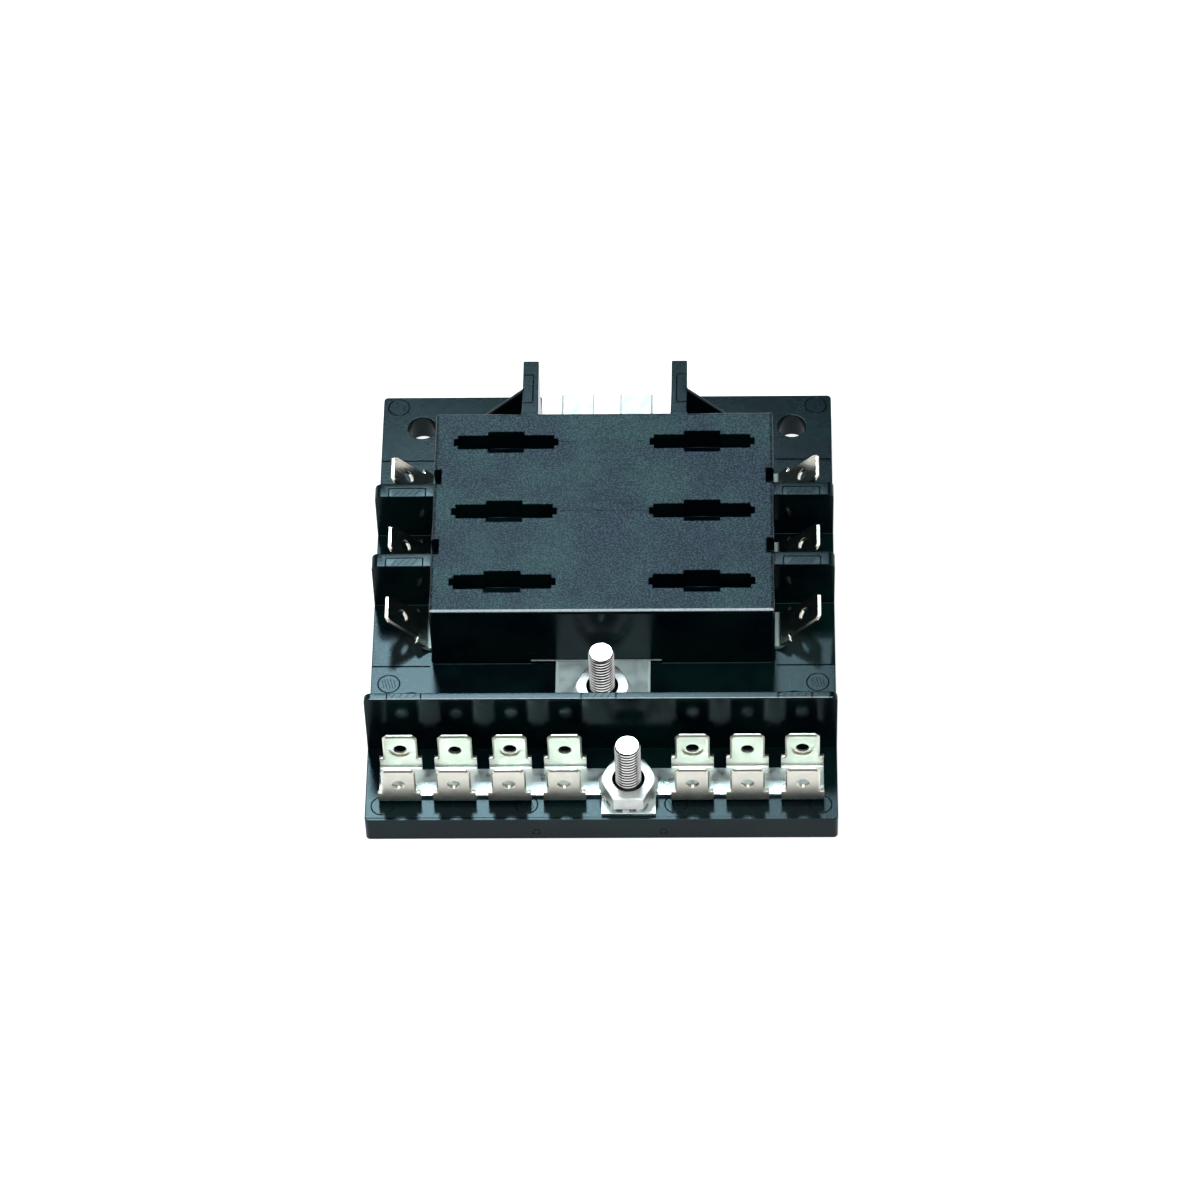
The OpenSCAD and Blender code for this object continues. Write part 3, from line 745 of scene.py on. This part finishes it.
def model_power_bus(sizes):
    """Power bus bar: a flat bar with a hole in its tongue and two plain tabs at its rear end."""
    tip = POWER_HIGH.y
    root = tip - 8 * MM
    half_gap = 2.525 * MM
    bar = add_block("power_bus_bar_looks", POWER_LOW, (POWER_HIGH.x, root, POWER_HIGH.z))
    with editing(bar):
        cut_across([(-half_gap, 0, 0), (half_gap, 0, 0)], (1, 0, 0))
        pick_faces(bar, lambda c, n: n.y > FACING and abs(c.x) > half_gap)
        push(0, tip - root, 0)
        face_outwards()
    blade_rims(bar, sizes, Vector((0, 1, 0)), Vector((0, 0, 1)), root)
    bore_for_stud(bar, POWER_STUD_AT)
    soften(bar, sizes.shear_edge)
    return bar


def model_load_terminal(sizes):
    """Load terminal of the right middle row: a foot with two spring leaves, and a sloping tab."""
    bend_x, inner, leaf_end = 32.8 * MM, 26.7 * MM, 26.1 * MM
    leaf_in, leaf_out = 1.5 * MM, 2.3 * MM
    # Steps of a leaf, outwards and up, in millimetres
    leaf_steps = ((0, 1.3), (-1.17, 2.94), (0.84, 1.56))
    half, half_shoulder = sizes.tab_width / 2, 4.1 * MM
    shoulder, tip = 2.6 * MM, 10.6 * MM
    slope = sizes.load_slope
    along = Vector((math.cos(slope), 0, math.sin(slope)))
    through = Vector((-math.sin(slope), 0, math.cos(slope)))
    row = ROWS["middle"]
    reach = sizes.bend_radius + sizes.sheet
    pivot = Vector((bend_x, row, BASE_TOP + reach))
    bend_end = pivot - reach * through

    def run(place):
        return (place - bend_end).dot(along)

    tab = add_block("load_terminal", (inner, row - half_shoulder, BASE_TOP),
                    (bend_x, row + half_shoulder, BASE_TOP + sizes.sheet))
    with editing(tab):
        cut_across([(0, row + side * half, 0) for side in SIDES], (0, 1, 0))
        pick_faces(tab, lambda c, n: n.x < -FACING and abs(c.y - row) < half)
        push(LOAD_LOW.x - inner, 0, 0)
        cut_across([(0, row + side * y, 0) for side in SIDES for y in (leaf_in, leaf_out)], (0, 1, 0))
        cut_across([(leaf_end, 0, 0)], (1, 0, 0))
        for side in SIDES:
            pick_faces(tab, lambda c, n: n.z > FACING and c.x < leaf_end
                       and leaf_in < side * (c.y - row) < leaf_out)
            for out, up in leaf_steps:
                push(0, side * out * MM, up * MM)
        pick_faces(tab, lambda c, n: n.x > FACING and abs(c.x - bend_x) < NEAR)
        bend(pivot, (0, 1, 0), -slope)
        pick_faces(tab, lambda c, n: n.dot(along) > FACING and abs(run(c)) < NEAR)
        push(*(along * shoulder))
        pick_faces(tab, lambda c, n: n.dot(along) > FACING and abs(run(c) - shoulder) < NEAR
                   and abs(c.y - row) < half)
        push(*(along * (tip - shoulder)))
        pick_edges(tab, lambda a, b: min(run(a), run(b)) > tip - NEAR and abs(a.y - b.y) < NEAR
                   and abs(abs(a.y - row) - half) < NEAR)
        chamfer(sizes.tab_chamfer)
        face_outwards()
    blade_rims(tab, sizes, along, through, bend_end.dot(along) + shoulder)
    hole = bend_end + along * (tip - sizes.tab_hole_drop) + through * sizes.sheet / 2
    combine(tab, [add_rod("hole", hole, sizes.tab_hole, 2 * MM, tilt=-slope)], "DIFFERENCE")
    soften(tab, sizes.shear_edge)
    return tab


# Fasteners


def model_stud(sizes):
    """Power stud: a helical thread, trimmed to a chamfered tip, on a plain shank with a hexagonal head."""
    # Root, lower flank, crest and upper flank, as shares of the depth and the pitch
    profile = ((0, 0.284), (1, 0.315), (0, 0.151), (-1, 0.25))
    # Turns past each end, which the trim takes off
    spare = 2
    facets = 40
    tip_chamfer = 0.35 * MM
    half_head, head_height = 4 * MM, 2.2 * MM
    root = STUD_RADIUS - sizes.thread_depth
    pitch = sizes.thread_pitch
    start = NUT_LOW.z + 0.1 * MM
    bottom, tip = STUD_LOW.z, STUD_HIGH.z
    deselect_all()
    bpy.ops.mesh.primitive_plane_add(size=pitch, location=(0, 0, 0))
    thread = named("power_stud_looks")
    with editing(thread):
        bpy.ops.mesh.select_mode(type="VERT")
        pick_all()
        bpy.ops.mesh.merge(type="CENTER")
        bpy.ops.transform.translate(value=(root, 0, start - spare * pitch))
        for out, share in profile:
            step = (out * sizes.thread_depth, 0, share * pitch)
            bpy.ops.mesh.extrude_vertices_move(TRANSFORM_OT_translate={"value": step})
    turns = math.ceil((tip - start) / pitch) + 2 * spare
    apply_modifier(thread, "SCREW", angle=2 * math.pi, screw_offset=pitch, iterations=turns, axis="Z",
                   steps=facets, render_steps=facets, use_merge_vertices=True, merge_threshold=MERGE / 2)
    with editing(thread):
        pick_all()
        bpy.ops.mesh.remove_doubles(threshold=MERGE)
        bpy.ops.mesh.select_mode(type="EDGE")
        bpy.ops.mesh.select_all(action="DESELECT")
        bpy.ops.mesh.select_non_manifold()
        bpy.ops.mesh.fill_holes(sides=0)
        face_outwards()
    axis = Vector()
    trim = add_post("trim", axis, start, tip, STUD_RADIUS + 0.02 * MM, sides=64)
    with editing(trim):
        pick_edges(trim, lambda a, b: min(a.z, b.z) > tip - NEAR)
        chamfer(tip_chamfer)
    combine(thread, [trim], "INTERSECT")
    shank = add_post("shank", axis, bottom + 1.0 * MM, start + 0.5 * MM, root - 0.03 * MM, sides=48)
    combine(thread, [shank], "UNION")
    head = add_post("head", axis, bottom, bottom + head_height, half_head / math.cos(HALF_FLAT),
                    sides=6, turn=HALF_FLAT)
    combine(thread, [head], "UNION")
    thread.location = (POWER_STUD_AT.x, POWER_STUD_AT.y, 0)
    activate(thread)
    return named("power_stud_looks")


def model_nut(sizes):
    """Power nut: a hexagon trimmed by a turned form, with a countersunk bore."""
    rim_inset = 0.1 * MM
    mouth_radius, mouth_depth, mouth_rise = 3.12 * MM, 0.9 * MM, 0.1 * MM
    across = sizes.nut_flats / 2
    corner = across / math.cos(HALF_FLAT)
    low, high = NUT_LOW.z, NUT_HIGH.z
    place = Vector((POWER_STUD_AT.x, POWER_STUD_AT.y, (low + high) / 2))
    nut = add_post("power_nut_looks", place, low, high, corner, sides=6, turn=HALF_FLAT)
    soften(nut, 0.12 * MM)
    slope_height = (corner - across) * math.tan(HALF_FLAT)
    form = add_post("form", place, low, high - slope_height, corner, sides=64)
    with editing(form):
        pick_faces(form, lambda c, n: n.z > FACING)
        push(0, 0, slope_height)
        rim = (across - rim_inset) / corner
        bpy.ops.transform.resize(value=(rim, rim, 1), center_override=(place.x, place.y, high))
    combine(nut, [form], "INTERSECT")
    combine(nut, [add_rod("bore", place, NUT_BORE, 2 * (high - low), sides=48)], "DIFFERENCE")
    mouth = add_post("mouth", place, high - mouth_depth, high + mouth_rise, STUD_RADIUS, sides=48,
                     top_radius=mouth_radius)
    combine(nut, [mouth], "DIFFERENCE")
    soften(nut, 0.05 * MM, segments=1, angle=28, clamp=True)
    with editing(nut):
        pick_all()
        bpy.ops.mesh.dissolve_degenerate(threshold=MERGE)
    return nut


def model_washer(sizes):
    """Lock washer of the power stud: a ring with teeth pulled out of its rim."""
    ring = 4.1 * MM
    facets_per_tooth = 4
    reach = (WASHER_HIGH.x - WASHER_LOW.x) / 2
    low, high = WASHER_LOW.z, WASHER_HIGH.z
    place = Vector((POWER_STUD_AT.x, POWER_STUD_AT.y, (low + high) / 2))
    period = 2 * math.pi / sizes.washer_teeth
    washer = add_post("power_lock_washer_looks", place, low, high, ring,
                      sides=facets_per_tooth * sizes.washer_teeth)

    def in_tooth(c, n):
        share = (math.atan2(c.y - place.y, c.x - place.x) % period) / period
        return abs(n.z) < 0.1 and share < 0.5

    with editing(washer):
        pick_faces(washer, in_tooth)
        push(0, 0, 0)
        bpy.ops.transform.resize(value=(reach / ring, reach / ring, 1), center_override=place)
    combine(washer, [add_rod("bore", place, STUD_HOLE, 3 * (high - low), sides=48)], "DIFFERENCE")
    soften(washer, 0.05 * MM, segments=1)
    return washer


# Moulding


def groove(start, end, z, depth):
    """A cutter for a V-shaped line in a top face, between two places in millimetres."""
    middle = (Vector(start) + Vector(end)) / 2
    run = Vector(end) - Vector(start)
    return add_rod("groove", mm(middle.x, middle.y, z), depth, run.length * MM, axis="X", sides=4,
                   turn=math.atan2(run.y, run.x))


def pin_hatching(x, y, z, radius, depth):
    """Cutters for the slanting tool marks inside a pin's mark."""
    cuts = []
    for place in range(-2, 3):
        across = x + place * radius / 3
        reach = 0.75 * math.sqrt(radius * radius - (across - x) ** 2)
        cuts.append(groove((across - reach / 4, y + reach), (across + reach / 4, y - reach), z, depth))
    return cuts


def wall_hatching(x0, x1, y0, y1, z, depth):
    """Cutters for the slanting tool marks on top of a wall."""
    slant = 0.8 * (y1 - y0)
    spacing = 1.3
    count = round((x1 - x0 - slant) / spacing)
    places = [x0 + slant / 2 + (x1 - x0 - slant) * (n + 0.5) / count for n in range(count)]
    return [groove((x - slant / 2, y0), (x + slant / 2, y1), z, depth) for x in places]


def mould_marks(sizes):
    """Cutters for the mould's marks: pins, blades, insert lines and dimples, in sets that don't cross."""
    # Places in millimetres; pins, base lines, blades and rear walls are mirrored on the other side
    pin_places = ((40.7, 48.6, False), (40.3, -19.4, True), (40.5, -47.8, False), (13.8, -47.6, True))
    base_lines_y, base_line_in, base_line_out = (-15.3, 35.0), 32.6, 44.0
    barriers_y, blade_front, blade_rear, blade_in, blade_out = (1.1, 18.1), 1.7, 0.45, 34.0, 41.0
    rear_wall_y, rear_wall_in, rear_wall_out = (36.4, 43.4), 13.8, 15.6
    dimples_x, dimple_z, dimple_radius, dimple_wire = (-12.0, 11.5), 2.2, 0.7 * MM, 0.14 * MM
    divider_y, divider_hatched_y = (-34.8, -33.1), (-34.4, -33.5)
    divider_lines_x = (-42.6, -39.4, -33.1, -3.5, 2.9, 32.7, 39.0, 42.3)
    divider_hatched_x = ((-39.2, -33.3), (-3.3, 2.7), (32.9, 38.8))
    housing_lines_y, housing_line_out = (9.6, 26.6), 13.2
    depth = sizes.mark_depth
    fine = 0.4 * depth
    base, housing = BASE_TOP / MM, HOUSING_TOP / MM
    barrier, divider = BARRIER_TOP / MM, DIVIDER_TOP / MM
    radius = sizes.mark_radius / MM
    pins, across, along = [], [], []
    for x, y, hatched in pin_places:
        for side in SIDES:
            pins.append(add_ring("pin", mm(side * x, y, base), sizes.mark_radius, depth))
            if hatched:
                along += pin_hatching(side * x, y, base, radius - 0.4, fine)
    for x in dimples_x:
        place = mm(x, HOUSING_LOW.y / MM, dimple_z)
        pins.append(add_ring("dimple", place, dimple_radius, dimple_wire, axis="Y"))
    for side in SIDES:
        for y in base_lines_y:
            across.append(groove((side * base_line_in, y), (side * base_line_out, y), base, 1.3 * depth))
        for y in barriers_y:
            front, rear = y - blade_front, y + blade_rear
            for x in (blade_in, blade_out):
                along.append(groove((side * x, front), (side * x, rear), barrier, depth))
            across.append(groove((side * blade_in, rear), (side * blade_out, rear), barrier, depth))
            low_x, high_x = sorted((side * (blade_in + 0.4), side * (blade_out - 0.4)))
            along += wall_hatching(low_x, high_x, front + 0.4, rear - 0.3, barrier, fine)
        along.append(groove(*[(side * rear_wall_in, y) for y in rear_wall_y], housing, depth))
        for y in rear_wall_y:
            across.append(groove((side * rear_wall_in, y), (side * rear_wall_out, y), housing, depth))
    for x in divider_lines_x:
        along.append(groove((x, divider_y[0]), (x, divider_y[1]), divider, depth))
    for low_x, high_x in divider_hatched_x:
        along += wall_hatching(low_x, high_x, *divider_hatched_y, divider, fine)
    for y in housing_lines_y:
        across.append(groove((-housing_line_out, y), (housing_line_out, y), housing, fine))
    return pins, across, along


def model_moulding(sizes):
    """Moulding: the frame's housing with broken edges, a line of flash and the mould's marks."""
    flash_low, flash_high = mm(-13.6, -14.9, 6.75), mm(11, -14.5, 6.95)
    body = traced("housing", "housing_looks")
    soften(body, sizes.mould_edge, segments=2, angle=35)
    with editing(body):
        pick_faces(body, lambda c, n: c.z > HOUSING_TOP + NEAR)
        bpy.ops.transform.resize(value=(1, 1, 0), center_override=(0, 0, HOUSING_TOP))
    flash = add_block("flash", flash_low, flash_high)
    soften(flash, 0.05 * MM)
    combine(body, [flash], "UNION")
    for marks in mould_marks(sizes):
        combine(body, marks, "DIFFERENCE")
    return body


# Operators


class FUSEBLOCK_OT_moulding(bpy.types.Operator):
    """Model the moulding over the frame's housing, and finish the cover under it"""

    bl_idname = "fuseblock.moulding"
    bl_label = "Moulding"

    def execute(self, context):
        material = plastic_material(context.scene.fuse_block_look)
        body = model_moulding(context.scene.fuse_block_sizes)
        finish_piece(body, material, "housing")
        paint(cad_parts["bottom_cover"], material)
        return {"FINISHED"}


class FUSEBLOCK_OT_ground_bus(bpy.types.Operator):
    """Model the ground bus bar with its two rows of tabs"""

    bl_idname = "fuseblock.ground_bus"
    bl_label = "Ground Bus Bar"

    def execute(self, context):
        bar = model_ground_bus(context.scene.fuse_block_sizes)
        finish_piece(bar, tin_material(context.scene.fuse_block_look), "ground_bus_bar")
        return {"FINISHED"}


class FUSEBLOCK_OT_power_bus(bpy.types.Operator):
    """Model the power bus bar, and finish the clips on it"""

    bl_idname = "fuseblock.power_bus"
    bl_label = "Power Bus Bar"

    def execute(self, context):
        material = tin_material(context.scene.fuse_block_look)
        bar = model_power_bus(context.scene.fuse_block_sizes)
        finish_piece(bar, material, "power_bus_bar")
        for name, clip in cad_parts.items():
            if name.startswith("bus_clip"):
                paint(clip, material)
        return {"FINISHED"}


class FUSEBLOCK_OT_load_terminals(bpy.types.Operator):
    """Model one load terminal and copy it to every row on both sides"""

    bl_idname = "fuseblock.load_terminals"
    bl_label = "Load Terminals"

    def execute(self, context):
        material = tin_material(context.scene.fuse_block_look)
        first = model_load_terminal(context.scene.fuse_block_sizes)
        for side in SIDES:
            for row, y in ROWS.items():
                node = f"load_terminal_{SIDE_NAMES[side]}_{row}"
                twin = copied(first, node + "_looks", (0, y - ROWS["middle"], 0), mirror_x=side < 0)
                finish_piece(twin, material, node)
        bpy.data.objects.remove(first)
        return {"FINISHED"}


class FUSEBLOCK_OT_fasteners(bpy.types.Operator):
    """Model the stud, lock washer and nut, and copy them to the ground bus bar"""

    bl_idname = "fuseblock.fasteners"
    bl_label = "Studs, Washers and Nuts"

    def execute(self, context):
        sizes = context.scene.fuse_block_sizes
        material = steel_material(context.scene.fuse_block_look)
        shift = GROUND_STUD_AT - POWER_STUD_AT
        # Each model with the angle that its copy is turned by
        models = (("stud", model_stud, 2.1), ("lock_washer", model_washer, 0.3), ("nut", model_nut, 0.0))
        for kind, model, turn in models:
            piece = model(sizes)
            twin = copied(piece, f"ground_{kind}_looks", (shift.x, shift.y, 0), turn=turn,
                          about=POWER_STUD_AT)
            finish_piece(piece, material, f"power_{kind}")
            finish_piece(twin, material, f"ground_{kind}")
        return {"FINISHED"}


def floor_material(stage):
    """Pale floor that adds white for the camera and in reflections, and keeps the block's shadow."""
    material, tree, shader, coordinates = new_material("Pale Floor")
    patches = placed_group(tree, grain_group(), coordinates, grain_scale=300.0, patch_scale=12.0)["Patches"]
    duller = tuple(channel * 0.98 for channel in stage.floor_color)
    rays = add_node(tree, "LightPath", {})
    seen = math_node(tree, "MAXIMUM", rays["Is Glossy Ray"], rays["Is Transmission Ray"])
    mirrored = times(tree, seen, stage.floor_shine)
    direct = times(tree, rays["Is Camera Ray"], stage.floor_glow)
    dress(tree, shader, {
        "Base Color": blend(tree, patches, stage.floor_color, duller),
        "Roughness": 0.9,
        "Specular IOR Level": 0.0,
        "Emission Color": (1, 1, 1),
        "Emission Strength": math_node(tree, "MAXIMUM", direct, mirrored),
    })
    return material


def make_world(stage):
    """Low even surroundings, paler on the left and the right, and white to the camera."""
    world = bpy.data.worlds.new("Surroundings")
    bpy.context.scene.world = world
    world.use_nodes = True
    tree = world.node_tree
    across = axes(tree, add_node(tree, "TexCoord", {})["Generated"])["X"]
    sideways = math_node(tree, "ABSOLUTE", across)
    glow = ramp(tree, sideways, 0.55, 0.75, stage.world_fill, stage.world_fill + stage.side_glow)
    seen = add_node(tree, "LightPath", {})["Is Camera Ray"]
    strength = math_node(tree, "MAXIMUM", glow, seen)
    dress(tree, tree.nodes["Background"], {"Color": (1, 1, 1), "Strength": strength})


def add_lamp(name, low, high, power, color):
    """A level lamp, given by two corners of its rectangle."""
    low, high = Vector(low), Vector(high)
    bpy.ops.object.light_add(type="AREA", location=(low + high) / 2)
    bpy.context.object.name = name
    lamp = bpy.context.object.data
    lamp.shape = "RECTANGLE"
    lamp.size = high.x - low.x
    lamp.size_y = high.y - low.y
    lamp.energy = power
    lamp.color = color
    return lamp


def add_lamps(stage):
    """A softbox behind the block, which fades out to its right and rear, and a strip and a panel above."""
    softbox = ((-0.19, 0.4, 0.8), (0.11, 0.755, 0.8))
    strip = ((-0.09, -0.4, 0.8), (0.05, 0.16, 0.8))
    panel = ((-0.75, -0.75, 1.0), (0.75, 0.2, 1.0))
    lamp = add_lamp("softbox", *softbox, stage.softbox_power, stage.softbox_color)
    add_lamp("strip", *strip, stage.strip_power, stage.softbox_color)
    add_lamp("panel", *panel, stage.panel_power, (1, 1, 1))
    lamp.use_nodes = True
    tree = lamp.node_tree
    place = axes(tree, add_node(tree, "NewGeometry", {})["Parametric"])
    across = ramp(tree, place["X"], 0.45, 1.0, 1.0, 0.0)
    along = ramp(tree, place["Y"], 0.57, 0.82, 1.0, 0.0)
    dress(tree, tree.nodes["Emission"], {"Strength": times(tree, across, along)})


class FUSEBLOCK_OT_stage(bpy.types.Operator):
    """Set up the floor, surroundings, lamps and camera"""

    bl_idname = "fuseblock.stage"
    bl_label = "Stage"

    def execute(self, context):
        stage = context.scene.fuse_block_stage
        deselect_all()
        bpy.ops.mesh.primitive_plane_add(size=6, location=(0, 0, -0.02 * MM))
        floor = named("floor")
        paint(floor, floor_material(stage))
        make_world(stage)
        add_lamps(stage)
        camera_data = bpy.data.cameras.new("camera")
        camera_data.lens = stage.lens
        camera_data.sensor_width = 36
        camera_data.sensor_fit = "HORIZONTAL"
        camera_data.clip_start = 0.01
        camera_data.clip_end = 20
        camera = bpy.data.objects.new("camera", camera_data)
        context.scene.collection.objects.link(camera)
        place = mm(27.098, -657.370, 839.192)
        right = Vector((0.999642, 0.012338, -0.023749))
        up = Vector((0.005028, 0.785005, 0.619469))
        ahead = Vector((-0.026287, 0.619366, -0.784662))
        turned = Matrix((right, up, -ahead)).transposed().to_4x4()
        camera.matrix_world = Matrix.Translation(place) @ turned
        context.scene.camera = camera
        context.scene.view_settings.view_transform = "Standard"
        return {"FINISHED"}


class FUSEBLOCK_PT_panel(bpy.types.Panel):
    """Sidebar panel that lists the steps and their settings"""

    bl_idname = "FUSEBLOCK_PT_panel"
    bl_label = "Fuse Block"
    bl_space_type = "VIEW_3D"
    bl_region_type = "UI"
    bl_category = "Fuse Block"

    def draw(self, context):
        layout = self.layout
        for step in STEPS:
            layout.operator(step.bl_idname)
        for settings in SETTINGS:
            group = getattr(context.scene, settings)
            box = layout.box()
            for name in group.__annotations__:
                box.prop(group, name)


STEPS = (
    FUSEBLOCK_OT_moulding,
    FUSEBLOCK_OT_ground_bus,
    FUSEBLOCK_OT_power_bus,
    FUSEBLOCK_OT_load_terminals,
    FUSEBLOCK_OT_fasteners,
    FUSEBLOCK_OT_stage,
)
SETTINGS = {
    "fuse_block_sizes": FuseBlockSizes,
    "fuse_block_look": FuseBlockLook,
    "fuse_block_stage": FuseBlockStage,
}


def register():
    """Registers the settings, steps and panel."""
    for name, group in SETTINGS.items():
        bpy.utils.register_class(group)
        setattr(bpy.types.Scene, name, PointerProperty(type=group))
    for step in STEPS:
        bpy.utils.register_class(step)
    bpy.utils.register_class(FUSEBLOCK_PT_panel)


def unregister():
    """Removes the panel, steps and settings."""
    bpy.utils.unregister_class(FUSEBLOCK_PT_panel)
    for step in reversed(STEPS):
        bpy.utils.unregister_class(step)
    for name, group in SETTINGS.items():
        delattr(bpy.types.Scene, name)
        bpy.utils.unregister_class(group)


def main():
    """Builds every piece and the stage."""
    register()
    bpy.ops.fuseblock.moulding()
    bpy.ops.fuseblock.ground_bus()
    bpy.ops.fuseblock.power_bus()
    bpy.ops.fuseblock.load_terminals()
    bpy.ops.fuseblock.fasteners()
    bpy.ops.fuseblock.stage()


if __name__ == "__main__":
    main()
